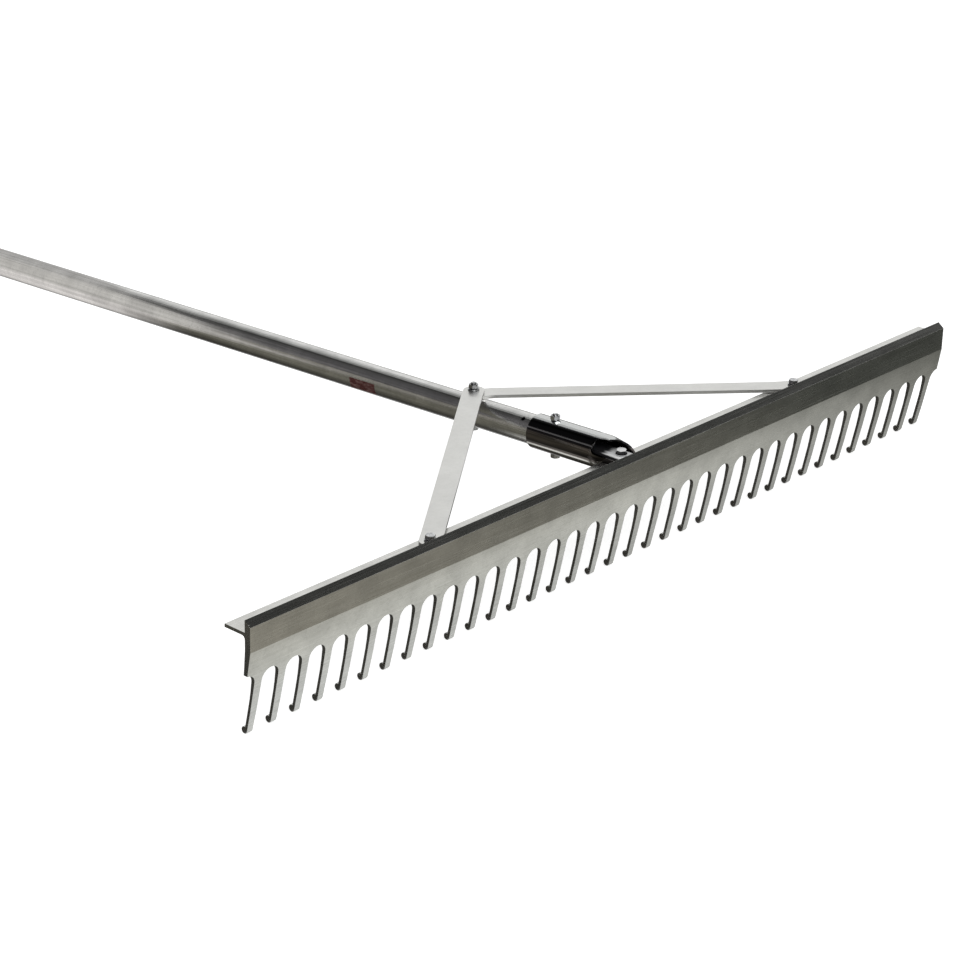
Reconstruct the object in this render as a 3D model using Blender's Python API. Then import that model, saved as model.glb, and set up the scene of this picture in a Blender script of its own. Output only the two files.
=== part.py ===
# Field rake: an extruded aluminium comb head on a long tubular handle, with a rolled steel socket
# and two flat braces. X runs along the head, Y back along the handle, Z up. The origin is the middle
# of the blade's flat front band. Heights in the head are given from the crease at the bottom of that
# band. The handle droops so that its end rests on the same ground as the tooth tips.

from math import asin, atan2, cos, hypot, log, pi, radians, sin, tan

import bmesh
import bpy
from mathutils import Matrix, Vector

# Clearances
SEAT_GAP = 0.0003  # between faces that rest on each other
HOLE_GAP = 0.0003  # between a bolt and its hole, all round

# Comb head: one aluminium extrusion with slots milled out of its blade. Each tooth is a piece of its
# own from the slots' roots down, so that the gaps between the teeth stay open in collision.
TOOTH_COUNT = 36
TOOTH_PITCH = 0.0254
TOOTH_TIP_WIDTH = 0.0059
TOOTH_ROOT_WIDTH = 0.0076
BLADE_THICKNESS = 0.0062
LOWER_BAND_THICKNESS = 0.0042
TOOTH_THICKNESS = 0.0029
UPPER_BAND_HEIGHT = 0.0213  # crease up to the front of the bevelled top edge
TOP_BEVEL_RISE = 0.0046  # the top edge slopes up to the rear by this much
LOWER_BAND_HEIGHT = 0.0215  # crease down to the slot roots
TOOTH_LENGTH = 0.0577  # slot roots down to the underside of the tip beads
TIP_BEAD_RADIUS = 0.0031
TIP_BEAD_REACH = 2.6  # the bead starts to stand out this many of its radii above the tip
LEAN_AT_CREASE = radians(8.5)  # the blade leans back towards the handle below the crease
LEAN_AT_TIP = radians(13.5)
FLANGE_TOP = 0.0154
FLANGE_THICKNESS = 0.0030
FLANGE_DEPTH = 0.0285  # front of the blade to the rear of the flange
FLANGE_FILLET = 0.0030

# Handle: its axis crosses the front of the blade at this height
HANDLE_AXIS_HEIGHT = 0.0194
TUBE_RADIUS = 0.0137
TUBE_WALL = 0.0016
TUBE_FRONT = 0.0420  # front of the blade to the front end of the tube
TUBE_LENGTH = 1.7830
TUBE_MARK_AT = 0.1250  # small hole in one wall just behind the socket
TUBE_MARK_ANGLE = radians(55)
TUBE_MARK_RADIUS = 0.0021

# Grip on the end of the handle
GRIP_LENGTH = 0.2400
GRIP_WALL = 0.0022
GRIP_COLLAR = 0.0014  # the collar and the end stand out this much more
GRIP_GROOVES = 12
GRIP_GROOVE_PITCH = 0.0140
GRIP_GROOVE_WIDTH = 0.0040
GRIP_GROOVE_DEPTH = 0.0009
GRIP_END_WALL = 0.0035
GRIP_EDGE_RADIUS = 0.0060

# Socket: steel sheet rolled round the tube with an open seam, its front opened into a scoop that lies
# on the flange. Angles go round the tube from straight down: negative on the left, where the seam is,
# positive on the right.
SOCKET_WALL = 0.0018
SOCKET_BACK = 0.1150  # front of the blade to the back edge of the socket
SOCKET_MOUTH = 0.0440  # the rolled part ends here
SOCKET_OPENED = 0.0380  # the sheet is fully cut back to the scoop here
SOCKET_FLAT = 0.0310  # from here forward the floor is flat, level with the flange
SOCKET_FRONT = 0.0125
SOCKET_SEAM_ANGLE = radians(119)
SOCKET_SEAM_GAP = 0.0014
SCOOP_LEFT_LIP = radians(98)  # low left wall of the scoop
SCOOP_RIGHT_LIP = radians(207)  # the right wall rises and arches over the top
SCOOP_FRONT_LIP = radians(90)  # both walls fall to this at the front
SCOOP_FRONT_SHARE = 0.80  # the scoop's radius at the front, as a share of the rolled part's
SOCKET_FACETS = 44
SCOOP_STATIONS = 22

# Tang: a flat steel bar on the socket's floor, that runs back into the tube
TANG_WIDTH = 0.0180
TANG_THICKNESS = 0.0030
TANG_FRONT = 0.0100  # front of the blade to the front end of the tang
TANG_BACK = 0.1050
TANG_CORNER = 0.0030

# Flat bar braces from the flange to the top of the tube
BRACE_WIDTH = 0.0190
BRACE_THICKNESS = 0.0030
BRACE_PAD = 0.0180  # flat length past each bolt
BRACE_FLANGE_X = 0.2416
BRACE_FLANGE_Y = 0.0168
BRACE_BOLT_AT = 0.1914  # along the handle from the front of the blade
BRACE_END_STEPS = 8
BRACE_TIP_STEP = 0.3  # share of a step: the round end starts with a narrow edge, not a point

# Bolts, nuts and washers
BOLT_RADIUS = 0.0025
BOLT_HEAD_HEIGHT = 0.0035
BOLT_SPARE = 0.0014  # thread past the nut
HEX_ACROSS_FLATS = 0.0080
NUT_HEIGHT = 0.0040
HEX_CHAMFER = 0.0006
WASHER_RADIUS = 0.0052
WASHER_THICKNESS = 0.0010
SOCKET_BOLT_AT = 0.0943
SOCKET_FLANGE_BOLT_Y = 0.0190
DRILL_REACH = 0.0060  # half the length of a cutter through one flat sheet

ROUND_SIDES = 48
BOLT_SIDES = 24

HEAD_LENGTH = TOOTH_COUNT * TOOTH_PITCH
TIP_DEPTH = LOWER_BAND_HEIGHT + TOOTH_LENGTH
SLOT_RADIUS = (TOOTH_PITCH - TOOTH_ROOT_WIDTH) / 2
TEETH_START = LOWER_BAND_HEIGHT + SLOT_RADIUS  # below the slots' round roots
LEAN_GAIN = (LEAN_AT_TIP - LEAN_AT_CREASE) / TIP_DEPTH
SOCKET_INNER_RADIUS = TUBE_RADIUS + SEAT_GAP
SOCKET_OUTER_RADIUS = SOCKET_INNER_RADIUS + SOCKET_WALL
HOLE_RADIUS = BOLT_RADIUS + HOLE_GAP
TUBE_BACK = TUBE_FRONT + TUBE_LENGTH
GRIP_RADIUS = TUBE_RADIUS + SEAT_GAP + GRIP_WALL
GRIP_END_RADIUS = GRIP_RADIUS + GRIP_COLLAR
GRIP_BACK = TUBE_BACK + SEAT_GAP + GRIP_END_WALL


def resting_droop():
    """The droop that puts the lower edge of the grip's end on the same level as the tooth tips."""
    fall = HANDLE_AXIS_HEIGHT + TIP_DEPTH - GRIP_EDGE_RADIUS
    run = GRIP_BACK - GRIP_EDGE_RADIUS
    below = GRIP_END_RADIUS - GRIP_EDGE_RADIUS
    return asin(fall / hypot(run, below)) - atan2(below, run)


HANDLE_DROOP = resting_droop()


def clear_scene():
    for old in list(bpy.data.objects):
        bpy.data.objects.remove(old, do_unlink=True)


def material(name, colour, roughness, metallic):
    made = bpy.data.materials.new(name)
    made.use_nodes = True
    shader = made.node_tree.nodes["Principled BSDF"]
    shader.inputs["Base Color"].default_value = (*colour, 1)
    shader.inputs["Roughness"].default_value = roughness
    shader.inputs["Metallic"].default_value = metallic
    return made


def add_object(name, bm, finish, parent):
    """Links a named object made from bm, with outward normals and round faces shaded smooth."""
    bmesh.ops.recalc_face_normals(bm, faces=bm.faces)
    mesh = bpy.data.meshes.new(name)
    bm.to_mesh(mesh)
    bm.free()
    mesh.shade_smooth()
    mesh.set_sharp_from_angle(angle=radians(35))
    obj = bpy.data.objects.new(name, mesh)
    bpy.context.scene.collection.objects.link(obj)
    obj.parent = parent
    if finish:
        mesh.materials.append(finish)
    return obj


def empty(name, parent=None):
    obj = bpy.data.objects.new(name, None)
    bpy.context.scene.collection.objects.link(obj)
    obj.parent = parent
    return obj


def cut(obj, cutter):
    cutter.hide_render = True
    cutter.display_type = "WIRE"
    modifier = obj.modifiers.new("cut_" + cutter.name, "BOOLEAN")
    modifier.operation = "DIFFERENCE"
    modifier.solver = "EXACT"
    modifier.object = cutter


def add_rings(bm, rings, closed):
    """Joins rings of equal length with faces, the last to the first if closed and else with capped ends."""
    count = len(rings[0])
    pairs = list(zip(rings, rings[1:]))
    if closed:
        pairs.append((rings[-1], rings[0]))
    else:
        bm.faces.new(rings[0][::-1])
        bm.faces.new(rings[-1])
    for first, second in pairs:
        for i in range(count):
            j = (i + 1) % count
            bm.faces.new((first[i], first[j], second[j], second[i]))


def add_prism(bm, points, low, high, place):
    """The outline's points (a, b) run from c = low to c = high, and place(a, b, c) gives each vertex."""
    rings = [[bm.verts.new(place(a, b, c)) for a, b in points] for c in (low, high)]
    add_rings(bm, rings, closed=False)


def arc(centre_a, centre_b, radius, start, end, steps):
    """Points round a centre from the start angle to the end angle, both included."""
    angles = [start + (end - start) * i / steps for i in range(steps + 1)]
    return [(centre_a + radius * cos(t), centre_b + radius * sin(t)) for t in angles]


def blend(first, second, share):
    return first + (second - first) * share


def drill(name, place, reach, parent, radius=HOLE_RADIUS):
    """A cutter for a round hole along the place's Z axis, reaching this far up and down."""
    bm = bmesh.new()
    ring = arc(0, 0, radius, 0, 2 * pi * (1 - 1 / BOLT_SIDES), BOLT_SIDES - 1)
    add_prism(bm, ring, -reach, reach, lambda a, b, c: place @ Vector((a, b, c)))
    return add_object(name, bm, None, parent)


# The comb head
def lean_at(depth):
    return LEAN_AT_CREASE + LEAN_GAIN * depth


def front_of_blade(depth):
    """How far back the front face lies, this far below the crease. Its slope is the tangent of the lean."""
    return (log(cos(LEAN_AT_CREASE)) - log(cos(lean_at(depth)))) / LEAN_GAIN


def behind_blade(depth):
    """The rear face, square across the blade from the front face. The blade thins down to the teeth."""
    if depth < LOWER_BAND_HEIGHT:
        share = depth / LOWER_BAND_HEIGHT
        thick = BLADE_THICKNESS + (LOWER_BAND_THICKNESS - BLADE_THICKNESS) * share
    else:
        share = min(1, (depth - LOWER_BAND_HEIGHT) / LOWER_BAND_HEIGHT)
        thick = LOWER_BAND_THICKNESS + (TOOTH_THICKNESS - LOWER_BAND_THICKNESS) * share
    lean = lean_at(depth)
    return front_of_blade(depth) + thick * cos(lean), -depth + thick * sin(lean)


def bead_centre():
    """The bead stands out behind the tooth: its front lies in the tooth's front face."""
    depth = TIP_DEPTH - TIP_BEAD_RADIUS
    return front_of_blade(depth) + TIP_BEAD_RADIUS / cos(lean_at(depth)), -depth


def blade_profile():
    """Outline in (Y, Z) of the blade and its flange, from the crease down the front and back up behind."""
    steps = 4
    depths = [TEETH_START * i / steps for i in range(steps + 1)]
    front = [(front_of_blade(d), -d) for d in depths]
    rear = [behind_blade(d) for d in reversed(depths)]
    under = FLANGE_TOP - FLANGE_THICKNESS
    fillet = arc(BLADE_THICKNESS + FLANGE_FILLET, under - FLANGE_FILLET, FLANGE_FILLET, pi, pi / 2, 4)
    flange = [(FLANGE_DEPTH, under), (FLANGE_DEPTH, FLANGE_TOP), (BLADE_THICKNESS, FLANGE_TOP)]
    top = [(BLADE_THICKNESS, UPPER_BAND_HEIGHT + TOP_BEVEL_RISE), (0, UPPER_BAND_HEIGHT)]
    return front + rear + fillet + flange + top


def tooth_profile():
    """Outline in (Y, Z) of a tooth, from its top down the front, round the bead and back up behind."""
    bead_y, bead_z = bead_centre()
    lean = lean_at(TIP_DEPTH)
    steps = 5
    top, bottom = TEETH_START + SEAT_GAP, TIP_DEPTH - TIP_BEAD_RADIUS
    depths = [blend(top, bottom, i / steps) for i in range(steps + 1)]
    front = [(front_of_blade(d), -d) for d in depths[:-1]]
    tooth_back = asin(TOOTH_THICKNESS / TIP_BEAD_RADIUS - 1)
    bead = arc(bead_y, bead_z, TIP_BEAD_RADIUS, lean + pi, lean + 2.5 * pi - tooth_back, 12)
    last = TIP_DEPTH - TIP_BEAD_REACH * TIP_BEAD_RADIUS
    rear = [behind_blade(last)] + [behind_blade(d) for d in reversed(depths) if d < last - TIP_BEAD_RADIUS]
    return front + bead + rear


def slot_outline():
    """The root of one slot between two teeth in (X, Z): half round, with sides down past the blade."""
    below = -TEETH_START - SLOT_RADIUS
    return arc(0, -TEETH_START, SLOT_RADIUS, 0, pi, 10) + [(-SLOT_RADIUS, below), (SLOT_RADIUS, below)]


def make_blade(finish, frame, bolt_places):
    half = HEAD_LENGTH / 2
    blade = bmesh.new()
    add_prism(blade, blade_profile(), -half, half, lambda y, z, x: (x, y, z))
    head = add_object("rake_head", blade, finish, frame)
    slots = bmesh.new()
    for i in range(TOOTH_COUNT + 1):
        middle = i * TOOTH_PITCH - half
        add_prism(slots, slot_outline(), -FLANGE_DEPTH, 2 * FLANGE_DEPTH, lambda x, z, y: (x + middle, y, z))
    cut(head, add_object("slot_cutter", slots, None, frame))
    for i, (x, y) in enumerate(bolt_places):
        place = Matrix.Translation((x, y, FLANGE_TOP))
        cut(head, drill(f"flange_drill_{i}", place, DRILL_REACH, frame))


def make_tooth(name, middle, finish, frame):
    """One tooth, centred at this X. It tapers evenly from its root to its tip."""

    def place(y, z, side):
        share = (-z - TEETH_START) / (TIP_DEPTH - TEETH_START)
        return middle + side * blend(TOOTH_ROOT_WIDTH, TOOTH_TIP_WIDTH, share) / 2, y, z

    bm = bmesh.new()
    add_prism(bm, tooth_profile(), -1, 1, place)
    add_object(name, bm, finish, frame)


# The handle
def turned(profile):
    """Rings of vertex places round the Y axis, one for each (radius, y) of the profile."""
    turns = [2 * pi * i / ROUND_SIDES for i in range(ROUND_SIDES)]
    return [[(radius * cos(t), y, radius * sin(t)) for t in turns] for radius, y in profile]


def make_tube(finish, handle):
    inner = TUBE_RADIUS - TUBE_WALL
    profile = [(inner, TUBE_FRONT), (TUBE_RADIUS, TUBE_FRONT), (TUBE_RADIUS, TUBE_BACK), (inner, TUBE_BACK)]
    bm = bmesh.new()
    add_rings(bm, [[bm.verts.new(place) for place in ring] for ring in turned(profile)], closed=True)
    tube = add_object("handle_tube", bm, finish, handle)
    for name, at in (("tube_drill_front", SOCKET_BOLT_AT), ("tube_drill_back", BRACE_BOLT_AT)):
        cut(tube, drill(name, Matrix.Translation((0, at, 0)), 2 * TUBE_RADIUS, handle))
    turn = Matrix.Translation((0, TUBE_MARK_AT, 0)) @ Matrix.Rotation(TUBE_MARK_ANGLE - pi / 2, 4, "Y")
    place = turn @ Matrix.Translation((0, 0, TUBE_RADIUS))
    cut(tube, drill("tube_mark_drill", place, 2 * TUBE_WALL, handle, TUBE_MARK_RADIUS))


def make_grip(finish, handle):
    """Soft grip pushed over the end of the tube: a collar, a grooved middle and a rounded closed end."""
    front = TUBE_BACK - GRIP_LENGTH
    inner = TUBE_RADIUS + SEAT_GAP
    collar_radius = GRIP_RADIUS + GRIP_COLLAR
    collar_back = front + GRIP_GROOVE_PITCH / 2
    outer = [(inner, front), (GRIP_RADIUS, front), (collar_radius, front + GRIP_COLLAR)]
    outer += [(collar_radius, collar_back), (GRIP_RADIUS, collar_back + GRIP_COLLAR)]
    first = front + (GRIP_LENGTH - (GRIP_GROOVES - 1) * GRIP_GROOVE_PITCH) / 2
    slope = GRIP_GROOVE_WIDTH / 2
    for i in range(GRIP_GROOVES):
        middle = first + i * GRIP_GROOVE_PITCH
        outer += [(GRIP_RADIUS, middle - slope), (GRIP_RADIUS - GRIP_GROOVE_DEPTH, middle)]
        outer += [(GRIP_RADIUS, middle + slope)]
    end_collar = GRIP_BACK - 3 * GRIP_EDGE_RADIUS
    outer += [(GRIP_RADIUS, end_collar), (GRIP_END_RADIUS, end_collar + GRIP_COLLAR)]
    edge_y = GRIP_BACK - GRIP_EDGE_RADIUS
    outer += arc(GRIP_END_RADIUS - GRIP_EDGE_RADIUS, edge_y, GRIP_EDGE_RADIUS, 0, pi / 2, 5)
    bottom_of_bore = [(inner, TUBE_BACK + SEAT_GAP)]
    bm = bmesh.new()
    rings = [[bm.verts.new(place) for place in ring] for ring in turned(bottom_of_bore + outer)]
    add_rings(bm, rings, closed=False)
    add_object("handle_grip", bm, finish, handle)


# The socket
def floor_level(at, above_flange):
    """Height over the handle's axis, at a place along it, of a plane this far above the flange's top."""
    return (FLANGE_TOP + above_flange - HANDLE_AXIS_HEIGHT + at * sin(HANDLE_DROOP)) / cos(HANDLE_DROOP)


def eased(low, high, value):
    share = min(1, max(0, (value - low) / (high - low)))
    return share * share * (3 - 2 * share)


def socket_section(at):
    """Outer and inner points of the sheet at one place along the handle, pressed flat below the floor."""
    rolled = eased(SOCKET_OPENED, SOCKET_MOUTH, at)
    forward = min(1, max(0, (SOCKET_OPENED - at) / (SOCKET_OPENED - SOCKET_FRONT)))
    seam = SOCKET_SEAM_GAP / SOCKET_OUTER_RADIUS
    left = blend(SCOOP_LEFT_LIP, SCOOP_FRONT_LIP, forward)
    left = blend(left, SOCKET_SEAM_ANGLE, rolled)
    right = blend(SCOOP_RIGHT_LIP, SCOOP_FRONT_LIP, forward**2)
    right = blend(right, 2 * pi - SOCKET_SEAM_ANGLE - seam, rolled)
    angles = [blend(-left, right, i / SOCKET_FACETS) for i in range(SOCKET_FACETS + 1)]
    pressed = 1 - eased(SOCKET_FLAT, TUBE_FRONT - SEAT_GAP, at)
    drawn_in = SOCKET_OUTER_RADIUS * (1 - SCOOP_FRONT_SHARE) * eased(0, 1, forward)
    faces = ((SOCKET_OUTER_RADIUS, SEAT_GAP), (SOCKET_INNER_RADIUS, SEAT_GAP + SOCKET_WALL))
    sides = []
    for rolled_radius, above in faces:
        radius = rolled_radius - drawn_in
        floor = blend(-rolled_radius, floor_level(at, above), pressed)
        sides.append([(radius * sin(t), max(-radius * cos(t), floor)) for t in angles])
    return sides


def make_socket(finish, handle, frame):
    places = [blend(SOCKET_MOUTH, SOCKET_FRONT, i / SCOOP_STATIONS) for i in range(SCOOP_STATIONS + 1)]
    bm = bmesh.new()
    rings = []
    for at in [SOCKET_BACK] + places:
        outer, inner = socket_section(at)
        rings.append([bm.verts.new((x, at, z)) for x, z in outer + inner[::-1]])
    add_rings(bm, rings, closed=False)
    socket = add_object("handle_socket", bm, finish, handle)
    cut(socket, drill("socket_drill", Matrix.Translation((0, SOCKET_BOLT_AT, 0)), 2 * TUBE_RADIUS, handle))
    place = Matrix.Translation((0, SOCKET_FLANGE_BOLT_Y, FLANGE_TOP))
    cut(socket, drill("socket_flange_drill", place, DRILL_REACH, frame))


def make_tang(finish, handle, frame):
    half = TANG_WIDTH / 2
    low = FLANGE_TOP + SEAT_GAP + SOCKET_WALL + SEAT_GAP
    side = half - TANG_CORNER
    front = TANG_FRONT + TANG_CORNER
    outline = arc(-side, front, TANG_CORNER, pi, 1.5 * pi, 5)
    outline += arc(side, front, TANG_CORNER, 1.5 * pi, 2 * pi, 5)
    outline += [(half, TANG_BACK), (-half, TANG_BACK)]
    bm = bmesh.new()
    add_prism(bm, outline, low, low + TANG_THICKNESS, lambda x, y, z: (x, y, z))
    tang = add_object("socket_tang", bm, finish, frame)
    cut(tang, drill("tang_drill", Matrix.Translation((0, SOCKET_BOLT_AT, 0)), TUBE_RADIUS, handle))
    place = Matrix.Translation((0, SOCKET_FLANGE_BOLT_Y, FLANGE_TOP))
    cut(tang, drill("tang_flange_drill", place, 2 * DRILL_REACH, frame))


# The braces
def crest_height(y, above):
    """Height of a plane this far above the tube's crest, over a point this far behind the blade's front."""
    return HANDLE_AXIS_HEIGHT + (TUBE_RADIUS + above) / cos(HANDLE_DROOP) - y * tan(HANDLE_DROOP)


def make_brace(name, side, above_crest, finish, frame, handle):
    """Flat bar with round ends: one pad on the flange, one along the tube's crest and a slope between."""
    start = Vector((side * BRACE_FLANGE_X, BRACE_FLANGE_Y))
    end = Vector((0, BRACE_BOLT_AT * cos(HANDLE_DROOP) + TUBE_RADIUS * sin(HANDLE_DROOP)))
    length = (end - start).length
    along = (end - start) / length
    across = Vector((-along.y, along.x))
    half = BRACE_WIDTH / 2
    last_bend = length - BRACE_PAD
    first_turn = pi - pi / 2 * BRACE_TIP_STEP / BRACE_END_STEPS
    rounded = arc(0, 0, half, first_turn, pi / 2, BRACE_END_STEPS)
    bends = [(BRACE_PAD, half), (last_bend, half)]
    outline = rounded + bends + [(length - u, v) for u, v in reversed(rounded)]

    def corner(u, v, lift):
        plan = start + along * u + across * v
        share = min(1, max(0, (u - BRACE_PAD) / (last_bend - BRACE_PAD)))
        height = blend(FLANGE_TOP + SEAT_GAP, crest_height(plan.y, above_crest), share)
        return plan.x, plan.y, height + lift

    bm = bmesh.new()
    rings = []
    for u, v in outline:
        places = ((v, 0), (-v, 0), (-v, BRACE_THICKNESS), (v, BRACE_THICKNESS))
        rings.append([bm.verts.new(corner(u, w, lift)) for w, lift in places])
    add_rings(bm, rings, closed=False)
    brace = add_object(name, bm, finish, frame)
    flange_place = Matrix.Translation((start.x, start.y, FLANGE_TOP))
    cut(brace, drill(name + "_flange_drill", flange_place, DRILL_REACH, frame))
    tube_place = Matrix.Translation((0, BRACE_BOLT_AT, 0))
    cut(brace, drill(name + "_tube_drill", tube_place, 2 * TUBE_RADIUS, handle))


# Fasteners
def round_outline(radius):
    return [radius] * BOLT_SIDES


def hex_outline(trim=0):
    """Radius at each of the bolt's sides of a hexagon. The trim takes its corners back to a circle."""
    half_flat = HEX_ACROSS_FLATS / 2
    reach = half_flat / cos(pi / 6) - trim
    turns = [2 * pi * i / BOLT_SIDES for i in range(BOLT_SIDES)]
    return [min(reach, half_flat / cos((t + pi / 6) % (pi / 3) - pi / 6)) for t in turns]


def add_lathed(bm, levels, closed):
    """levels is a list of (radius at each side, z)."""
    turns = [2 * pi * i / BOLT_SIDES for i in range(BOLT_SIDES)]
    rings = []
    for radii, z in levels:
        rings.append([bm.verts.new((r * cos(t), r * sin(t), z)) for r, t in zip(radii, turns)])
    add_rings(bm, rings, closed)


def make_bolt(name, place, seat, tip, finish, parent):
    """A hex bolt pointing up, its head's seat and its tip at these heights over the place's origin."""
    bottom = seat - BOLT_HEAD_HEIGHT
    end = BOLT_RADIUS / 6
    levels = [(hex_outline(HEX_CHAMFER), bottom), (hex_outline(), bottom + HEX_CHAMFER)]
    levels += [(hex_outline(), seat), (round_outline(BOLT_RADIUS), seat)]
    levels += [(round_outline(BOLT_RADIUS), tip - end), (round_outline(BOLT_RADIUS - end), tip)]
    bm = bmesh.new()
    add_lathed(bm, levels, closed=False)
    add_object(name, bm, finish, parent).matrix_local = place


def make_washer(name, place, low, finish, parent):
    hole, edge = round_outline(HOLE_RADIUS), round_outline(WASHER_RADIUS)
    high = low + WASHER_THICKNESS
    bm = bmesh.new()
    add_lathed(bm, [(hole, low), (edge, low), (edge, high), (hole, high)], closed=True)
    add_object(name, bm, finish, parent).matrix_local = place


def make_nut(name, place, low, finish, parent):
    hole, trimmed, full = round_outline(HOLE_RADIUS), hex_outline(HEX_CHAMFER), hex_outline()
    high = low + NUT_HEIGHT
    levels = [(hole, low), (trimmed, low), (full, low + HEX_CHAMFER)]
    levels += [(full, high - HEX_CHAMFER), (trimmed, high), (hole, high)]
    bm = bmesh.new()
    add_lathed(bm, levels, closed=True)
    add_object(name, bm, finish, parent).matrix_local = place


def fasten(name, place, low, high, finish, parent, washer=None):
    """Clamps what lies between two heights over the place's origin, with the head below and the nut above.

    washer says which of the two it goes under.
    """
    seat, nut_low = low - SEAT_GAP, high + SEAT_GAP
    if washer == "nut":
        make_washer(name + "_washer", place, nut_low, finish, parent)
        nut_low += WASHER_THICKNESS + SEAT_GAP
    if washer == "head":
        make_washer(name + "_washer", place, seat - WASHER_THICKNESS, finish, parent)
        seat -= WASHER_THICKNESS + SEAT_GAP
    make_bolt(name + "_bolt", place, seat, nut_low + NUT_HEIGHT + BOLT_SPARE, finish, parent)
    make_nut(name + "_nut", place, nut_low, finish, parent)


def main():
    clear_scene()
    mill_aluminium = material("mill_aluminium", (0.60, 0.60, 0.57), 0.38, 1.0)
    bar_aluminium = material("bar_aluminium", (0.80, 0.80, 0.80), 0.30, 1.0)
    drawn_aluminium = material("drawn_aluminium", (0.62, 0.60, 0.57), 0.25, 1.0)
    dark_steel = material("dark_steel", (0.03, 0.03, 0.035), 0.18, 0.9)
    zinc_steel = material("zinc_steel", (0.62, 0.64, 0.66), 0.28, 1.0)
    vinyl = material("black_vinyl", (0.02, 0.02, 0.02), 0.55, 0.0)

    frame = empty("rake_frame")
    frame.location = (0, 0, -UPPER_BAND_HEIGHT / 2)
    handle = empty("handle_frame", frame)
    handle.location = (0, 0, HANDLE_AXIS_HEIGHT)
    handle.rotation_euler = (-HANDLE_DROOP, 0, 0)

    socket_bolt = (0, SOCKET_FLANGE_BOLT_Y)
    left_bolt = (-BRACE_FLANGE_X, BRACE_FLANGE_Y)
    right_bolt = (BRACE_FLANGE_X, BRACE_FLANGE_Y)
    make_blade(mill_aluminium, frame, [left_bolt, socket_bolt, right_bolt])
    for i in range(TOOTH_COUNT):
        middle = (i + 0.5) * TOOTH_PITCH - HEAD_LENGTH / 2
        make_tooth(f"tooth_{i + 1:02d}", middle, mill_aluminium, frame)
    make_tube(drawn_aluminium, handle)
    make_grip(vinyl, handle)
    make_socket(dark_steel, handle, frame)
    make_tang(zinc_steel, handle, frame)

    right_above = SEAT_GAP
    left_above = right_above + BRACE_THICKNESS + SEAT_GAP
    make_brace("brace_right", 1, right_above, bar_aluminium, frame, handle)
    make_brace("brace_left", -1, left_above, bar_aluminium, frame, handle)

    brace_top = SEAT_GAP + BRACE_THICKNESS
    tang_top = SEAT_GAP + SOCKET_WALL + SEAT_GAP + TANG_THICKNESS
    flange_bolts = [
        ("brace_left_flange", left_bolt, brace_top),
        ("brace_right_flange", right_bolt, brace_top),
        ("socket_flange", socket_bolt, tang_top),
    ]
    for name, bolt, top in flange_bolts:
        upside_down = Matrix.Translation((*bolt, FLANGE_TOP)) @ Matrix.Rotation(pi, 4, "X")
        fasten(name, upside_down, -top, FLANGE_THICKNESS, zinc_steel, frame, washer="head")
    place = Matrix.Translation((0, SOCKET_BOLT_AT, 0))
    fasten("socket_tube", place, -SOCKET_OUTER_RADIUS, SOCKET_OUTER_RADIUS, zinc_steel, handle)
    place = Matrix.Translation((0, BRACE_BOLT_AT, 0))
    pads_top = TUBE_RADIUS + left_above + BRACE_THICKNESS
    fasten("brace_tube", place, -TUBE_RADIUS, pads_top, zinc_steel, handle, washer="nut")


main()
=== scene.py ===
from math import cos, pi, radians, sin

import bmesh
import bpy
from mathutils import Matrix, Vector


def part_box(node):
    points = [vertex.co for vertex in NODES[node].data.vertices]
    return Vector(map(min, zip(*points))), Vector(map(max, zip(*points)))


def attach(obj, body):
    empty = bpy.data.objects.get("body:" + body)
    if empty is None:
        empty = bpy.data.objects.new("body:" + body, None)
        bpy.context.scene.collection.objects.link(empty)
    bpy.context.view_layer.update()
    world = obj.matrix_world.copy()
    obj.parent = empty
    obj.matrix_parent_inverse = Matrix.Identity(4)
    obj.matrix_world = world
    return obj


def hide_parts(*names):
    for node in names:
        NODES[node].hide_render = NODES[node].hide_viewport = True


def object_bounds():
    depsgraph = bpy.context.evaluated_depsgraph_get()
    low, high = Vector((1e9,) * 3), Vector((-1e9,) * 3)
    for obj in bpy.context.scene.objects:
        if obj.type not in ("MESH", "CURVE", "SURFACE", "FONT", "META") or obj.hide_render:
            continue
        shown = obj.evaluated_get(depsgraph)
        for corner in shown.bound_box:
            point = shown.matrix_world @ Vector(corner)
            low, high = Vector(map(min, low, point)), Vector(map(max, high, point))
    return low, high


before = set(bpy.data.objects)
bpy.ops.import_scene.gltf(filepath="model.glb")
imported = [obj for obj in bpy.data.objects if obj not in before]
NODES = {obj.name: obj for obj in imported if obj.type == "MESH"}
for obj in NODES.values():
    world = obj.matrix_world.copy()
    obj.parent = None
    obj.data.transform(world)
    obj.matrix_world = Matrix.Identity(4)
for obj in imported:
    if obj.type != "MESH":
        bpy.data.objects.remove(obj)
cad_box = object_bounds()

# Camera, in metres in the frame of the part
CAMERA_PLACE = Vector((-1.8705, -1.4999, 1.0361))
CAMERA_FORWARD = Vector((0.68082, 0.61367, -0.39987))
CAMERA_UP = Vector((0.28071, 0.28564, 0.91630))
CAMERA_REACH = 100
SENSOR_WIDTH = 36.0  # mm
LENS = 114.84  # mm

# One wide lamp, above the camera and to its right
LAMP_PLACE = Vector((-1.6, -2.2, 2.6))
LAMP_TARGET = Vector((0, 0.1, 0))
LAMP_SIZE = 2.0
LAMP_POWER = 40  # watts

# The handle's axis crosses the front of the blade at this height and droops to the rear
HANDLE_HEIGHT = 0.00875
HANDLE_DROOP = radians(2.547)
TUBE_RADIUS = 0.0137

# Rays from the camera leave the tube gaining this much Y for each metre away from its axis
MIRROR_SLOPE = 0.772

# An edge is a pair of numbers: where something starts to show, and where it shows in full

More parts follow.
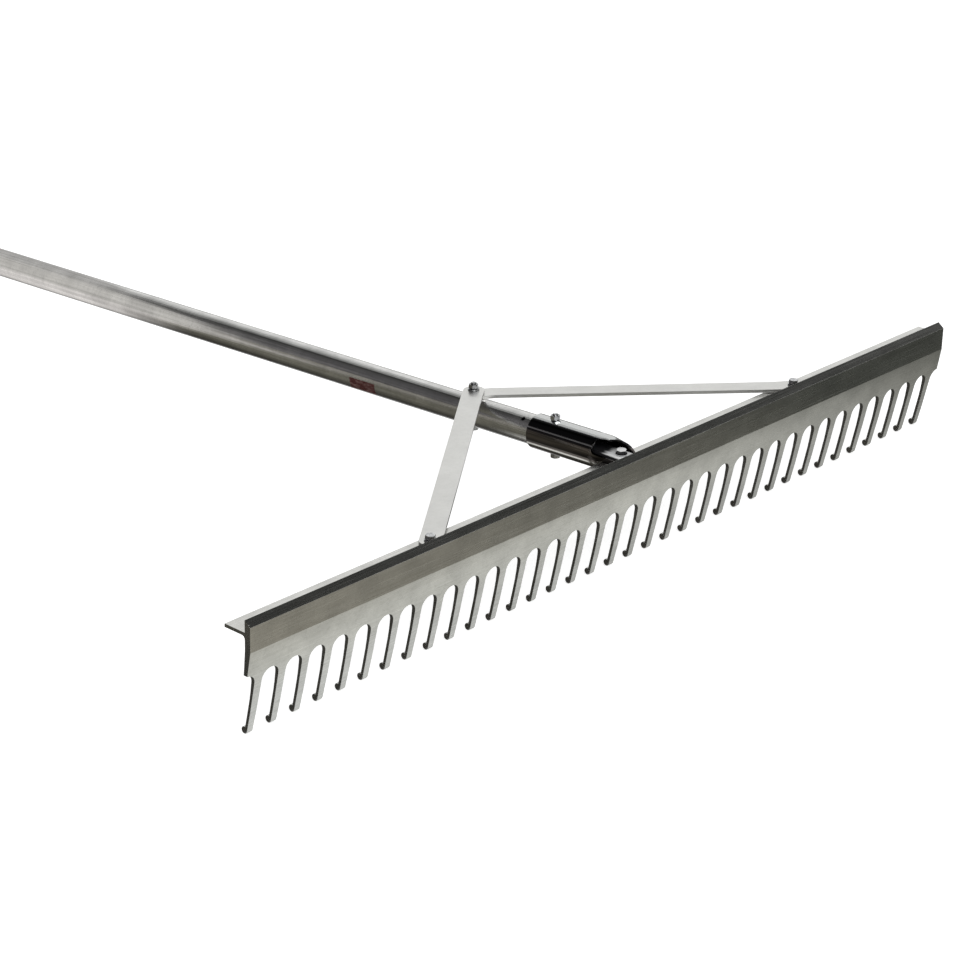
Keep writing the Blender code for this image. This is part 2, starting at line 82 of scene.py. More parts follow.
# World: white to the camera, and plain soft light on the object
SKY_COLOUR = (1.0, 1.0, 1.0)
SOFT_LIGHT_COLOUR = (0.9, 0.9, 0.9)
SOFT_LIGHT_STRENGTH = 0.8

# The room that only metal mirrors, with edges along X, Y and Z of the direction seen
ROOM_LEFT_COLOUR = (0.120, 0.116, 0.120)
ROOM_RIGHT_COLOUR = (0.028, 0.029, 0.027)
ROOM_EDGE_X = (-0.45, 0.0)
SKIRTING_COLOUR = (0.34, 0.32, 0.28)
SKIRTING_FOOT_EDGE_Z = (0.0, 0.06)
SKIRTING_TOP_EDGE_Z = (0.22, 0.12)
FRONT_WALL_COLOUR = (0.80, 0.80, 0.80)
FRONT_WALL_EDGE_Y = (0.05, -0.35)
FRONT_WALL_FOOT_EDGE_Z = (0.0, 0.1)
FRONT_WALL_TOP_EDGE_Z = (0.60, 0.42)
BACK_WALL_COLOUR = (0.97, 0.97, 0.96)
BACK_WALL_EDGE_X = (-0.01, 0.50)
BACK_WALL_EDGE_Y = (0.15, 0.40)
BACK_WALL_FOOT_EDGE_Z = (0.02, 0.14)
BACK_WALL_TOP_EDGE_Z = (0.88, 0.76)

# Floor of white paper
GROUND = cad_box[0][2]
FLOOR_SIZE = 12.0
FLOOR_GAP = 0.0005  # between the ground and the floor's surface
PAPER_COLOUR = (0.85, 0.85, 0.85)
PAPER_GLOW_COLOUR = (1.0, 1.0, 1.0)
PAPER_GLOW = 0.55

# The floor before the head as metal mirrors it, in strips from far before it to under the teeth
FRONT_STRIP = {"left": (0.38, 0.358, 0.30), "right": (0.055, 0.058, 0.050), "edge_x": (-0.45, 0.45)}
CLOSE_STRIP = {"left": (0.78, 0.78, 0.73), "right": (0.25, 0.25, 0.225), "edge_x": (0.12, 0.55)}
TEETH_STRIP = {"left": (0.84, 0.85, 0.84), "right": (0.30, 0.30, 0.28), "edge_x": (-0.45, 0.65)}
CLOSE_STRIP_EDGE_Y = (-0.070, -0.058)
TEETH_STRIP_EDGE_Y = (-0.050, -0.010)

# The floor behind the head as metal mirrors it: painted shade near the handle, clearer away from it, with a
# bright patch on the handle's left, bright from further back on its right, and bright far back on its left
BEHIND_EDGE_Y = (0.0155, 0.0195)
# Painted shade under the handle and the socket
HANDLE_SHADE_COLOUR = (0.040, 0.038, 0.032)
CLEAR_COLOUR = (0.18, 0.172, 0.140)
CLEAR_SIDE_EDGE = (0.0, 0.10)
CLEAR_EDGE_Y = (0.10, 0.32)
PATCH_COLOUR = (0.76, 0.75, 0.72)
PATCH_LEFT_EDGE_X = (-0.12, -0.08)
PATCH_RIGHT_EDGE_X = (-0.02, -0.045)
PATCH_FRONT_EDGE_Y = (0.09, 0.12)
PATCH_BACK_EDGE_Y = (0.24, 0.15)
BEYOND_COLOUR = (0.85, 0.85, 0.85)
BEYOND_EDGE_X = (0.01, 0.05)
BEYOND_EDGE_Y = (0.12, 0.20)
FAR_COLOUR = (0.98, 0.94, 0.92)
FAR_EDGE = (0.53, 0.69)
FAR_SLANTED_EDGE = (0.62, 0.92)
FAR_SLANT_LIMIT = -0.2  # the slant stops this far to the left
FAR_RIGHT_EDGE_X = (0.03, -0.02)

# Tent over the far stretch of the handle, from below the floor on one side to below it on the other
TENT_RADIUS = 0.25
TENT_FRONT = 0.60
TENT_BACK = 2.20
TENT_START = radians(-40)
TENT_END = radians(220)
TENT_SIDES = 26
TENT_LEFT_COLOUR = (0.74, 0.72, 0.69)
TENT_RIGHT_COLOUR = (0.58, 0.57, 0.56)
TENT_COLOUR_EDGE_X = (-0.20, 0.05)
TENT_EDGE = (0.73, 0.79)
TENT_SLANTED_EDGE = (0.765, 0.83)

# Parts of the range of a noise, which the finishes stretch
NOISE_SPREAD = (0.3, 0.7)
NOISE_LINES = (0.32, 0.68)
NOISE_MIDDLE = (0.35, 0.65)
NOISE_LOW = (0.30, 0.50)
NOISE_UPPER = (0.4, 0.7)
NOISE_HIGH = (0.50, 0.64)

# Bare metals. fine is the noise scale along X, Y and Z, small along the lines. blotch is how far spots
# dim the metal, and clouds dim it twice as far.
METALS = {
    "mill_aluminium": {
        "light": (0.73, 0.73, 0.71),
        "dark": (0.60, 0.60, 0.575),
        "roughness": 0.24,
        "fine": (9, 900, 900),
        "blotch": 0.08,
    },
    "drawn_aluminium": {
        "light": (0.80, 0.80, 0.79),
        "dark": (0.54, 0.54, 0.53),
        "roughness": 0.22,
        "fine": (420, 5, 420),
        "blotch": 0.1,
        "turn": (HANDLE_DROOP, 0, 0),
    },
    "bar_aluminium": {
        "light": (0.77, 0.77, 0.755),
        "dark": (0.70, 0.70, 0.68),
        "roughness": 0.34,
        "fine": (60, 60, 900),
        "blotch": 0.035,
    },
    "zinc_steel": {
        "light": (0.84, 0.85, 0.86),
        "dark": (0.36, 0.37, 0.38),
        "roughness": 0.13,
        "fine": (450, 450, 450),
        "blotch": 0.15,
    },
}

# The socket's coat, with edges in height above the handle's axis. Light is painted into the coat by height:
# painted shade in a dark band above the axis, a painted highlight line below the axis and a painted
# highlight along the top.
COAT_DARK_COLOUR = (0.055, 0.050, 0.048)
COAT_LIGHT_COLOUR = (0.21, 0.19, 0.18)
# Painted shade: a dark band above the handle's axis
DARK_BAND_SHADE_COLOUR = (0.022, 0.022, 0.024)
DARK_BAND_SHADE_EDGE = (0.0050, 0.0078)
# Painted highlight: a bright line below the handle's axis
LOW_HIGHLIGHT_COLOUR = (0.90, 0.90, 0.88)
LOW_HIGHLIGHT_LOW_EDGE = (-0.0098, -0.0088)
LOW_HIGHLIGHT_HIGH_EDGE = (-0.0050, -0.0062)
# Painted highlight: bright metal along the top of the socket
TOP_HIGHLIGHT_DARK_COLOUR = (0.44, 0.45, 0.45)
TOP_HIGHLIGHT_LIGHT_COLOUR = (0.70, 0.71, 0.71)
TOP_HIGHLIGHT_EDGE = (0.0140, 0.0146)
COAT_EDGE_STRAY = (-0.0002, 0.0002)

# Dull zinc of the socket's flat bar and its bolt. Painted shade lies at the back inside the socket, on the
# bar's sides and round the bolt's head.
BAR_DARK_COLOUR = (0.86, 0.87, 0.87)
BAR_LIGHT_COLOUR = (0.97, 0.97, 0.97)
# Painted shade on the bar and its bolt
BAR_SHADE_COLOUR = (0.020, 0.020, 0.022)
INSIDE_SHADE_EDGE_Y = (0.027, 0.035)
INSIDE_SHADE_EDGE_STRAY = (-0.002, 0.002)
BAR_SIDE_EDGE = (-0.0004, -0.0008)  # from the top of the bar
RING_LOW_EDGE = (0.0001, 0.0004)  # from the top of the bar
RING_HIGH_EDGE = (-0.0004, -0.0009)  # from the top of the bolt's head

VINYL_DARK_COLOUR = (0.014, 0.014, 0.014)
VINYL_LIGHT_COLOUR = (0.024, 0.024, 0.024)

# Plain red sticker on the left of the handle. Angles are from straight down, to the left.
STICKER_FRONT = 0.303
STICKER_BACK = 0.335
STICKER_LOW = radians(48)
STICKER_HIGH = radians(98)
STICKER_GAP = 0.00002
STICKER_THICKNESS = 0.00012  # its outside above the tube
STICKER_COLUMNS = 8
STICKER_ROWS = 14
STICKER_COLOUR = (0.060, 0.014, 0.013)
STICKER_WORN_COLOUR = (0.17, 0.105, 0.095)

# The cut above each tooth: faces this close to its height face it, and it is closed over this width
SEAM_REACH = 0.0020
SEAM_WIDTH = 0.0006
LEVEL_NORMAL = 0.9  # a face is level when Z of its normal is past this, up or down
WELD_DISTANCE = 0.00002
FLAT_ANGLE = radians(1)

# Threads on the ends of the bolts
THREAD_ROOT = 0.00245
THREAD_INSIDE = THREAD_ROOT / 2
THREAD_CREST = 0.00275
THREAD_PITCH = 0.0008
THREAD_SIDES = 32

# Small bevels on sharp edges
HEAD_BEVEL = 0.00025
FASTENER_BEVEL = 0.00015
NODE_BEVELS = {
    "brace_left": 0.0004,
    "brace_right": 0.0004,
    "socket_tang": 0.0004,
    "handle_socket": 0.0003,
    "handle_tube": 0.0002,
}
BEVEL_SEGMENTS = 2
BEVEL_ANGLE = radians(50)
SMOOTH_ANGLE = radians(35)


def make_camera():
    data = bpy.data.cameras.new("camera")
    data.sensor_width = SENSOR_WIDTH
    data.lens = LENS
    data.clip_end = CAMERA_REACH
    camera = bpy.data.objects.new("camera", data)
    bpy.context.scene.collection.objects.link(camera)
    forward = CAMERA_FORWARD.normalized()
    right = forward.cross(CAMERA_UP).normalized()
    up = right.cross(forward)
    turn = Matrix((right, up, -forward)).transposed()
    camera.matrix_world = Matrix.Translation(CAMERA_PLACE) @ turn.to_4x4()
    bpy.context.scene.camera = camera


def make_lamp():
    data = bpy.data.lights.new("key_lamp", "AREA")
    data.shape = "DISK"
    data.size = LAMP_SIZE
    data.energy = LAMP_POWER
    lamp = bpy.data.objects.new("key_lamp", data)
    bpy.context.scene.collection.objects.link(lamp)
    lamp.location = LAMP_PLACE
    lamp.rotation_euler = (LAMP_TARGET - LAMP_PLACE).to_track_quat("-Z", "Y").to_euler()


class Tree:
    """Short ways to add and join shader nodes."""

    # Sockets of the Mix node that hold colours
    FIRST_COLOUR = 6
    SECOND_COLOUR = 7
    MIXED_COLOUR = 2

    def __init__(self, tree):
        self.tree = tree
        tree.nodes.clear()

    def add(self, kind, inputs=None, **settings):
        node = self.tree.nodes.new(kind)
        for name, value in settings.items():
            setattr(node, name, value)
        for name, value in (inputs or {}).items():
            socket = node.inputs[name]
            if isinstance(value, bpy.types.NodeSocket):
                self.tree.links.new(value, socket)
            elif socket.type == "RGBA":
                socket.default_value = (*value, 1)
            else:
                socket.default_value = value
        return node

    def place(self, scale=(1, 1, 1), turn=(0, 0, 0)):
        """Object coordinates in metres, turned and then scaled."""
        coordinates = self.add("ShaderNodeTexCoord").outputs["Object"]
        turned = self.add("ShaderNodeMapping", {"Vector": coordinates, "Rotation": turn}).outputs[0]
        return self.add("ShaderNodeMapping", {"Vector": turned, "Scale": scale}).outputs[0]

    def split(self, vector):
        return self.add("ShaderNodeSeparateXYZ", {"Vector": vector}).outputs

    def noise(self, vector, detail=4.0, roughness=0.6):
        inputs = {"Vector": vector, "Scale": 1.0, "Detail": detail, "Roughness": roughness}
        return self.add("ShaderNodeTexNoise", inputs).outputs["Fac"]

    def remap(self, value, source, target=(0, 1), curve="LINEAR"):
        """Stretches the range source to the range target, and stays at its ends outside source."""
        inputs = {"Value": value}
        inputs["From Min"], inputs["From Max"] = source
        inputs["To Min"], inputs["To Max"] = target
        return self.add("ShaderNodeMapRange", inputs, interpolation_type=curve).outputs[0]

    def step(self, value, edge):
        """0 before an edge and 1 past it. An edge that starts higher than it ends is passed downwards."""
        start, end = edge
        if start < end:
            return self.remap(value, (start, end), (0, 1), "SMOOTHSTEP")
        return self.remap(value, (end, start), (1, 0), "SMOOTHSTEP")

    def mix_colour(self, share, first, second, mode="MIX"):
        inputs = {0: share, self.FIRST_COLOUR: first, self.SECOND_COLOUR: second}
        node = self.add("ShaderNodeMix", inputs, data_type="RGBA", blend_type=mode)
        return node.outputs[self.MIXED_COLOUR]

    def maths(self, operation, *values):
        return self.add("ShaderNodeMath", dict(enumerate(values)), operation=operation).outputs[0]

    def product(self, *values):
        result = values[0]
        for value in values[1:]:
            result = self.maths("MULTIPLY", result, value)
        return result

    def light(self, kind, colour, strength=1.0):
        return self.add(kind, {"Color": colour, "Strength": strength}).outputs[0]

    def mix_shader(self, share, first, second):
        return self.add("ShaderNodeMixShader", {0: share, 1: first, 2: second}).outputs[0]

    def bump(self, height, strength, distance=0.0002):
        inputs = {"Height": height, "Strength": strength, "Distance": distance}
        return self.add("ShaderNodeBump", inputs).outputs[0]


def blend(first, second, share):
    return first + (second - first) * share


def raised(height, edge):
    """An edge given from some height, as one in Z."""
    return height + edge[0], height + edge[1]


# Studio
def make_world():
    """White to the camera. Metal sees a dark room, with a tall bright wall behind and a low one before."""
    world = bpy.data.worlds.new("studio")
    bpy.context.scene.world = world
    world.use_nodes = True
    tree = Tree(world.node_tree)
    x, y, z = tree.split(tree.add("ShaderNodeTexCoord").outputs["Generated"])
    back_wall = tree.product(
        tree.remap(x, BACK_WALL_EDGE_X),
        tree.step(y, BACK_WALL_EDGE_Y),
        tree.step(z, BACK_WALL_FOOT_EDGE_Z),
        tree.step(z, BACK_WALL_TOP_EDGE_Z),
    )
    front_wall = tree.product(
        tree.step(y, FRONT_WALL_EDGE_Y),
        tree.step(z, FRONT_WALL_FOOT_EDGE_Z),
        tree.step(z, FRONT_WALL_TOP_EDGE_Z),
    )
    skirting = tree.product(tree.step(z, SKIRTING_FOOT_EDGE_Z), tree.step(z, SKIRTING_TOP_EDGE_Z))
    colour = tree.mix_colour(tree.step(x, ROOM_EDGE_X), ROOM_LEFT_COLOUR, ROOM_RIGHT_COLOUR)
    colour = tree.mix_colour(skirting, colour, SKIRTING_COLOUR)
    colour = tree.mix_colour(front_wall, colour, FRONT_WALL_COLOUR)
    colour = tree.mix_colour(back_wall, colour, BACK_WALL_COLOUR)
    seen = tree.light("ShaderNodeBackground", SKY_COLOUR)
    soft = tree.light("ShaderNodeBackground", SOFT_LIGHT_COLOUR, SOFT_LIGHT_STRENGTH)
    mirrored = tree.light("ShaderNodeBackground", colour)
    rays = tree.add("ShaderNodeLightPath").outputs
    lit = tree.mix_shader(rays["Is Glossy Ray"], soft, mirrored)
    tree.add("ShaderNodeOutputWorld", {"Surface": tree.mix_shader(rays["Is Camera Ray"], lit, seen)})


def make_sheet(name, corners, faces):
    """A sheet of the studio. Returns the tree of its finish."""
    mesh = bpy.data.meshes.new(name)
    mesh.from_pydata(corners, [], faces)
    sheet = bpy.data.objects.new(name, mesh)
    bpy.context.scene.collection.objects.link(sheet)
    finish = bpy.data.materials.new(name)
    finish.use_nodes = True
    mesh.materials.append(finish)
    return Tree(finish.node_tree)


def mirrored_from(tree, x, y, height):
    """How far along the handle the tube mirrors a place of the studio at this height from its axis."""
    spread = tree.maths("SQRT", tree.maths("ADD", tree.product(x, x), tree.product(height, height)))
    return tree.maths("SUBTRACT", y, tree.product(spread, MIRROR_SLOPE))


def strip_colour(tree, x, left, right, edge_x):
    return tree.mix_colour(tree.remap(x, edge_x), left, right)


def floor_before_head(tree, x, y):
    """Brighter close to the teeth, and darker to the right."""
    colour = strip_colour(tree, x, **FRONT_STRIP)
    colour = tree.mix_colour(tree.step(y, CLOSE_STRIP_EDGE_Y), colour, strip_colour(tree, x, **CLOSE_STRIP))
    return tree.mix_colour(tree.step(y, TEETH_STRIP_EDGE_Y), colour, strip_colour(tree, x, **TEETH_STRIP))


def floor_behind_head(tree, x, y):
    """Painted shade near the handle, and bright far back, where the edge slants forward on the left."""
    clear = tree.product(tree.step(tree.maths("ABSOLUTE", x), CLEAR_SIDE_EDGE), tree.step(y, CLEAR_EDGE_Y))
    patch = tree.product(
        tree.step(x, PATCH_LEFT_EDGE_X),
        tree.step(x, PATCH_RIGHT_EDGE_X),
        tree.step(y, PATCH_FRONT_EDGE_Y),
        tree.step(y, PATCH_BACK_EDGE_Y),
    )
    beyond = tree.product(tree.step(x, BEYOND_EDGE_X), tree.step(y, BEYOND_EDGE_Y))
    along = mirrored_from(tree, x, y, HANDLE_HEIGHT - GROUND)
    slanted = tree.maths("SUBTRACT", along, tree.maths("MAXIMUM", x, FAR_SLANT_LIMIT))
    far = tree.maths("MAXIMUM", tree.step(slanted, FAR_SLANTED_EDGE), tree.step(along, FAR_EDGE))
    far = tree.product(far, tree.step(x, FAR_RIGHT_EDGE_X))
    # Painted shade near the handle, clearing away from it
    colour = tree.mix_colour(clear, HANDLE_SHADE_COLOUR, CLEAR_COLOUR)
    colour = tree.mix_colour(patch, colour, PATCH_COLOUR)
    colour = tree.mix_colour(beyond, colour, BEYOND_COLOUR)
    return tree.mix_colour(far, colour, FAR_COLOUR)


def make_floor():
    """White paper that keeps soft shadows. Metal sees other colours in it."""
    half = FLOOR_SIZE / 2
    level = GROUND - FLOOR_GAP
    corners = [(-half, -half, level), (half, -half, level), (half, half, level), (-half, half, level)]
    tree = make_sheet("floor", corners, [(0, 1, 2, 3)])
    paper = tree.add("ShaderNodeBsdfDiffuse", {"Color": PAPER_COLOUR}).outputs[0]
    glow = tree.light("ShaderNodeEmission", PAPER_GLOW_COLOUR, PAPER_GLOW)
    seen = tree.add("ShaderNodeAddShader", {0: paper, 1: glow}).outputs[0]
    x, y, _ = tree.split(tree.place())
    behind = tree.step(y, BEHIND_EDGE_Y)
    colour = tree.mix_colour(behind, floor_before_head(tree, x, y), floor_behind_head(tree, x, y))
    mirrored = tree.light("ShaderNodeEmission", colour)
    rays = tree.add("ShaderNodeLightPath").outputs
    tree.add("ShaderNodeOutputMaterial", {"Surface": tree.mix_shader(rays["Is Glossy Ray"], seen, mirrored)})


def make_tent():
    """A pale tent over the far stretch of the handle. Only metal shows it, further forward on the left."""
    turns = [blend(TENT_START, TENT_END, i / TENT_SIDES) for i in range(TENT_SIDES + 1)]
    arch = [(TENT_RADIUS * cos(turn), TENT_RADIUS * sin(turn)) for turn in turns]
    corners = [(across, y, up) for y in (TENT_FRONT, TENT_BACK) for across, up in arch]
    faces = [(i, i + 1, i + TENT_SIDES + 2, i + TENT_SIDES + 1) for i in range(TENT_SIDES)]
    tree = make_sheet("tent", corners, faces)
    x, y, z = tree.split(tree.place())
    along = mirrored_from(tree, x, y, z)
    slanted = tree.maths("SUBTRACT", along, x)
    shown = tree.maths("MAXIMUM", tree.step(slanted, TENT_SLANTED_EDGE), tree.step(along, TENT_EDGE))
    colour = tree.mix_colour(tree.step(x, TENT_COLOUR_EDGE_X), TENT_LEFT_COLOUR, TENT_RIGHT_COLOUR)
    pale = tree.light("ShaderNodeEmission", colour)
    clear = tree.add("ShaderNodeBsdfTransparent").outputs[0]
    rays = tree.add("ShaderNodeLightPath").outputs
    share = tree.product(rays["Is Glossy Ray"], shown)
    tree.add("ShaderNodeOutputMaterial", {"Surface": tree.mix_shader(share, clear, pale)})


# Finishes
def make_finish(name, build, metallic=0.0):
    """A Principled finish. build(tree) gives what feeds the shader's sockets, by their names."""
    finish = bpy.data.materials.new(name)
    finish.use_nodes = True
    tree = Tree(finish.node_tree)
    shader = tree.add("ShaderNodeBsdfPrincipled", {"Metallic": metallic, **build(tree)})
    tree.add("ShaderNodeOutputMaterial", {"Surface": shader.outputs[0]})
    return finish


def brushed(name, light, dark, roughness, fine, blotch, turn=(0, 0, 0)):
    """Bare metal with fine lines, soft clouds and small spots."""

    def build(tree):
        lines = tree.noise(tree.place(fine, turn), detail=5.0, roughness=0.65)
        clouds = tree.noise(tree.place(scale=(38, 38, 38)), detail=3.0, roughness=0.55)
        spots = tree.noise(tree.place(scale=(330, 330, 330)), detail=2.0, roughness=0.5)
        colour = tree.mix_colour(tree.remap(lines, NOISE_LINES), dark, light)
        clouded = tree.remap(clouds, NOISE_MIDDLE, (1 - 2 * blotch, 1))
        speckled = tree.remap(spots, NOISE_LOW, (1 - blotch, 1))
        tone = tree.product(clouded, speckled)
        shade = tree.add("ShaderNodeCombineColor", {"Red": tone, "Green": tone, "Blue": tone}).outputs[0]
        return {
            "Base Color": tree.mix_colour(1.0, colour, shade, "MULTIPLY"),
            "Roughness": tree.remap(lines, NOISE_SPREAD, (roughness - 0.04, roughness + 0.05)),
            "Normal": tree.bump(lines, strength=0.04),
        }

    return make_finish(name, build, metallic=1.0)


def dark_steel():
    """Polished rolled steel with a dark coat and soft streaks along the roll. Light is painted in by height:
    a painted highlight of bright metal along the top, painted shade in a band below it, and a painted
    highlight line below the axis.
    """

    def build(tree):
        turn = (HANDLE_DROOP, 0, 0)
        streaks = tree.noise(tree.place((260, 12, 260), turn))
        dust = tree.noise(tree.place(scale=(900, 900, 900)))
        stray = tree.remap(dust, NOISE_SPREAD, COAT_EDGE_STRAY)
        height = tree.maths("ADD", tree.split(tree.place(turn=turn))["Z"], stray)
        # Painted shade: a dark band above the axis
        dark_band_shade = tree.step(height, raised(HANDLE_HEIGHT, DARK_BAND_SHADE_EDGE))
        # Painted highlight: a bright line below the axis
        low_highlight = tree.product(
            tree.step(height, raised(HANDLE_HEIGHT, LOW_HIGHLIGHT_LOW_EDGE)),
            tree.step(height, raised(HANDLE_HEIGHT, LOW_HIGHLIGHT_HIGH_EDGE)),
        )
        # Painted highlight: bright metal along the top of the socket
        worn = tree.step(height, raised(HANDLE_HEIGHT, TOP_HIGHLIGHT_EDGE))
        coat = tree.mix_colour(tree.remap(streaks, NOISE_MIDDLE), COAT_DARK_COLOUR, COAT_LIGHT_COLOUR)
        coat = tree.mix_colour(dark_band_shade, coat, DARK_BAND_SHADE_COLOUR)
        coat = tree.mix_colour(low_highlight, coat, LOW_HIGHLIGHT_COLOUR)
        top_highlight = tree.mix_colour(dust, TOP_HIGHLIGHT_DARK_COLOUR, TOP_HIGHLIGHT_LIGHT_COLOUR)
        return {
            "Base Color": tree.mix_colour(worn, coat, top_highlight),
            "Roughness": tree.remap(dust, NOISE_SPREAD, (0.06, 0.12)),
            "Normal": tree.bump(streaks, strength=0.08, distance=0.0003),
        }

    return make_finish("dark_steel", build, metallic=1.0)


def zinc_bar():
    """Dull zinc on the flat bar and its bolt, with painted shade inside the socket, on the bar's sides and
    round the bolt's head.
    """
    bar_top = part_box("socket_tang")[1][2]
    head_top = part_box("socket_flange_bolt")[1][2]

    def build(tree):
        streaks = tree.noise(tree.place(scale=(420, 25, 420)))
        _, y, z = tree.split(tree.place())
        # Painted shade at the back, inside the socket
        shade_inside = tree.step(tree.maths("ADD", y, tree.remap(streaks, NOISE_SPREAD, INSIDE_SHADE_EDGE_STRAY)), INSIDE_SHADE_EDGE_Y)
        # Painted shade round the sides of the bolt's head
        ring = tree.product(
            tree.step(z, raised(bar_top, RING_LOW_EDGE)), tree.step(z, raised(head_top, RING_HIGH_EDGE))
        )
        # Painted shade on the bar's sides
        side = tree.step(z, raised(bar_top, BAR_SIDE_EDGE))
        colour = tree.mix_colour(tree.remap(streaks, NOISE_MIDDLE), BAR_DARK_COLOUR, BAR_LIGHT_COLOUR)
        for shaded in (shade_inside, ring, side):
            colour = tree.mix_colour(shaded, colour, BAR_SHADE_COLOUR)
        return {
            "Base Color": colour,
            "Roughness": tree.remap(streaks, NOISE_SPREAD, (0.28, 0.42)),
            "Normal": tree.bump(streaks, strength=0.1),
        }

    return make_finish("zinc_bar", build, metallic=0.1)


def vinyl():
    """Black vinyl with a fine grain and faint clouds."""

    def build(tree):
        grain = tree.noise(tree.place(scale=(1500, 1500, 1500)), detail=3.0)
        clouds = tree.noise(tree.place(scale=(60, 60, 60)), detail=3.0, roughness=0.5)
        tone = tree.remap(clouds, NOISE_MIDDLE)
        return {
            "Base Color": tree.mix_colour(tone, VINYL_DARK_COLOUR, VINYL_LIGHT_COLOUR),
            "Roughness": tree.remap(grain, NOISE_SPREAD, (0.42, 0.60)),
            "Normal": tree.bump(grain, strength=0.25),
        }

    return make_finish("vinyl", build)


def sticker_film():
    """Red film, scuffed in places so that the metal shows through."""

    def build(tree):
        scuffs = tree.noise(tree.place(scale=(420, 130, 420)), detail=5.0, roughness=0.7)
        worn = tree.remap(scuffs, NOISE_HIGH)
        return {
            "Base Color": tree.mix_colour(worn, STICKER_COLOUR, STICKER_WORN_COLOUR),
            "Roughness": tree.remap(scuffs, NOISE_UPPER, (0.25, 0.5)),
        }

    return make_finish("sticker_film", build, metallic=0.35)


def set_finish(node, finish):
    data = NODES[node].data
    data.materials.clear()
    data.materials.append(finish)


def soften(obj, width):
    """Rounds sharp edges a little."""
    modifier = obj.modifiers.new("soft_edges", "BEVEL")
    modifier.width = width
    modifier.segments = BEVEL_SEGMENTS
    modifier.limit_method = "ANGLE"
    modifier.angle_limit = BEVEL_ANGLE


# Pieces
def add_piece(name, mesh, finish):
    """Links a new piece made from the bmesh, with round faces shaded smooth, that moves with the rake."""
    data = bpy.data.meshes.new(name)
    mesh.to_mesh(data)
    mesh.free()
    data.shade_smooth()
    data.set_sharp_from_angle(angle=SMOOTH_ANGLE)
    data.materials.append(finish)
    piece = bpy.data.objects.new(name, data)
    bpy.context.scene.collection.objects.link(piece)
    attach(piece, "root")
    return piece


def join_rings(mesh, rings):
    """Faces between each ring of points and the next."""
    count = len(rings[0])
    for first, second in zip(rings, rings[1:]):
        for i in range(count):
            j = (i + 1) % count
            mesh.faces.new((first[i], first[j], second[j], second[i]))


def join_head(finish):
    """The blade and its teeth as the one extrusion they are: the fine cut above each tooth is closed."""
    teeth = [name for name in NODES if name.startswith("tooth_")]
    seam = max(v.co.z for name in teeth for v in NODES[name].data.vertices)
    mesh = bmesh.new()
    for name in ["rake_head"] + teeth:
        mesh.from_mesh(NODES[name].data)
    bmesh.ops.remove_doubles(mesh, verts=mesh.verts, dist=WELD_DISTANCE)
    bmesh.ops.recalc_face_normals(mesh, faces=mesh.faces)
    ends = []
    for face in mesh.faces:
        near = all(abs(v.co.z - seam) < SEAM_REACH for v in face.verts)
        if near and abs(face.normal.z) > LEVEL_NORMAL:
            ends.append(face)
    bmesh.ops.delete(mesh, geom=ends, context="FACES")
    rims = [v for v in mesh.verts if v.is_boundary]
    bmesh.ops.remove_doubles(mesh, verts=rims, dist=SEAM_WIDTH)
    bmesh.ops.dissolve_limit(mesh, angle_limit=FLAT_ANGLE, verts=mesh.verts, edges=mesh.edges)
    head = add_piece("whole_head", mesh, finish)
    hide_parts("rake_head", *teeth)
    soften(head, HEAD_BEVEL)


def make_threads(name, axis, finish):
    """Rings of thread on the end of a bolt, from just inside its nut to its tip."""
    corners = [v.co for v in NODES[name + "_bolt"].data.vertices]
    tip = max(corner.dot(axis) for corner in corners)
    start = max(v.co.dot(axis) for v in NODES[name + "_nut"].data.vertices) - THREAD_PITCH
    centre = sum(corners, Vector()) / len(corners)
    centre -= axis * centre.dot(axis)
    side = axis.cross(Vector((1, 0, 0))).normalized()
    other = axis.cross(side)
    profile = [(THREAD_INSIDE, start), (THREAD_ROOT, start)]
    for i in range(int((tip - start) / THREAD_PITCH)):
        middle = start + (i + 0.5) * THREAD_PITCH
        profile += [(THREAD_CREST, middle), (THREAD_ROOT, middle + THREAD_PITCH / 2)]
    profile.append((THREAD_INSIDE, profile[-1][1]))
    mesh = bmesh.new()
    rings = []
    for i in range(THREAD_SIDES):
        angle = 2 * pi * i / THREAD_SIDES
        outward = side * cos(angle) + other * sin(angle)
        rings.append([mesh.verts.new(centre + outward * radius + axis * level) for radius, level in profile])
    join_rings(mesh, rings + rings[:1])
    bmesh.ops.recalc_face_normals(mesh, faces=mesh.faces)
    add_piece(name + "_threads", mesh, finish)


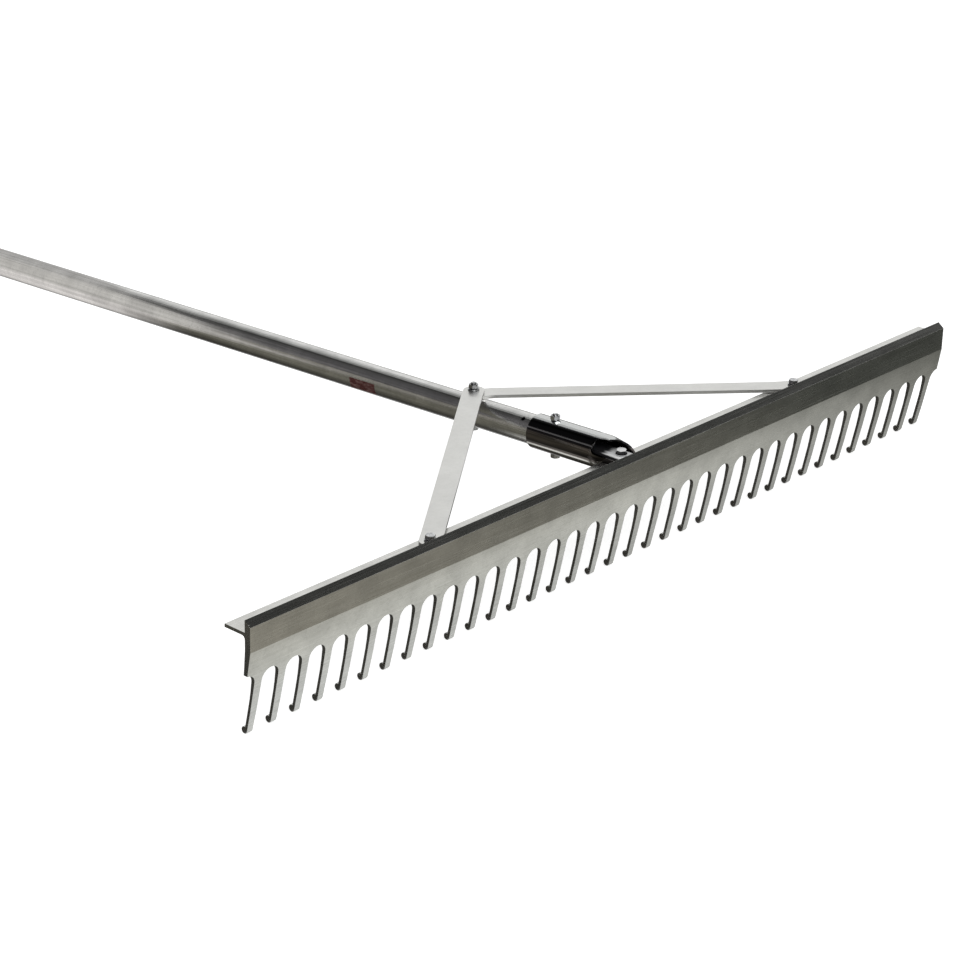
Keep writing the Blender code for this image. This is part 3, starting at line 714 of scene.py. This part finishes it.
def on_handle(radius, angle, along):
    """A point on or round the handle. angle is from straight down to the left."""
    across = -radius * sin(angle)
    below = radius * cos(angle)
    y = along * cos(HANDLE_DROOP) - below * sin(HANDLE_DROOP)
    z = HANDLE_HEIGHT - along * sin(HANDLE_DROOP) - below * cos(HANDLE_DROOP)
    return across, y, z


def make_sticker():
    """A thin curved film, closed all round."""
    angles = [blend(STICKER_LOW, STICKER_HIGH, j / STICKER_ROWS) for j in range(STICKER_ROWS + 1)]
    inner = [(TUBE_RADIUS + STICKER_GAP, angle) for angle in angles]
    outer = [(TUBE_RADIUS + STICKER_THICKNESS, angle) for angle in reversed(angles)]
    mesh = bmesh.new()
    rings = []
    for i in range(STICKER_COLUMNS + 1):
        along = blend(STICKER_FRONT, STICKER_BACK, i / STICKER_COLUMNS)
        rings.append([mesh.verts.new(on_handle(radius, angle, along)) for radius, angle in inner + outer])
    join_rings(mesh, rings)
    mesh.faces.new(rings[0][::-1])
    mesh.faces.new(rings[-1])
    bmesh.ops.recalc_face_normals(mesh, faces=mesh.faces)
    add_piece("handle_sticker", mesh, sticker_film())


def dress_nodes():
    """Gives each node its finish and its bevels, joins the head and adds the bolts' threads."""
    metals = {name: brushed(name, **look) for name, look in METALS.items()}
    zinc = metals["zinc_steel"]
    dull_zinc = zinc_bar()
    join_head(metals["mill_aluminium"])
    set_finish("handle_tube", metals["drawn_aluminium"])
    set_finish("brace_left", metals["bar_aluminium"])
    set_finish("brace_right", metals["bar_aluminium"])
    set_finish("handle_socket", dark_steel())
    set_finish("handle_grip", vinyl())
    up_from_handle = Vector((0, sin(HANDLE_DROOP), cos(HANDLE_DROOP)))
    down = Vector((0, 0, -1))
    for name in NODES:
        if name.endswith(("_bolt", "_washer", "_nut")):
            set_finish(name, zinc)
            soften(NODES[name], FASTENER_BEVEL)
        if name.endswith("_bolt"):
            fastener = name.removesuffix("_bolt")
            make_threads(fastener, up_from_handle if fastener.endswith("tube") else down, zinc)
    set_finish("socket_tang", dull_zinc)
    set_finish("socket_flange_bolt", dull_zinc)
    for name, width in NODE_BEVELS.items():
        soften(NODES[name], width)


make_camera()
make_world()
make_floor()
make_tent()
make_lamp()
dress_nodes()
make_sticker()
bpy.context.scene.view_settings.view_transform = "Standard"
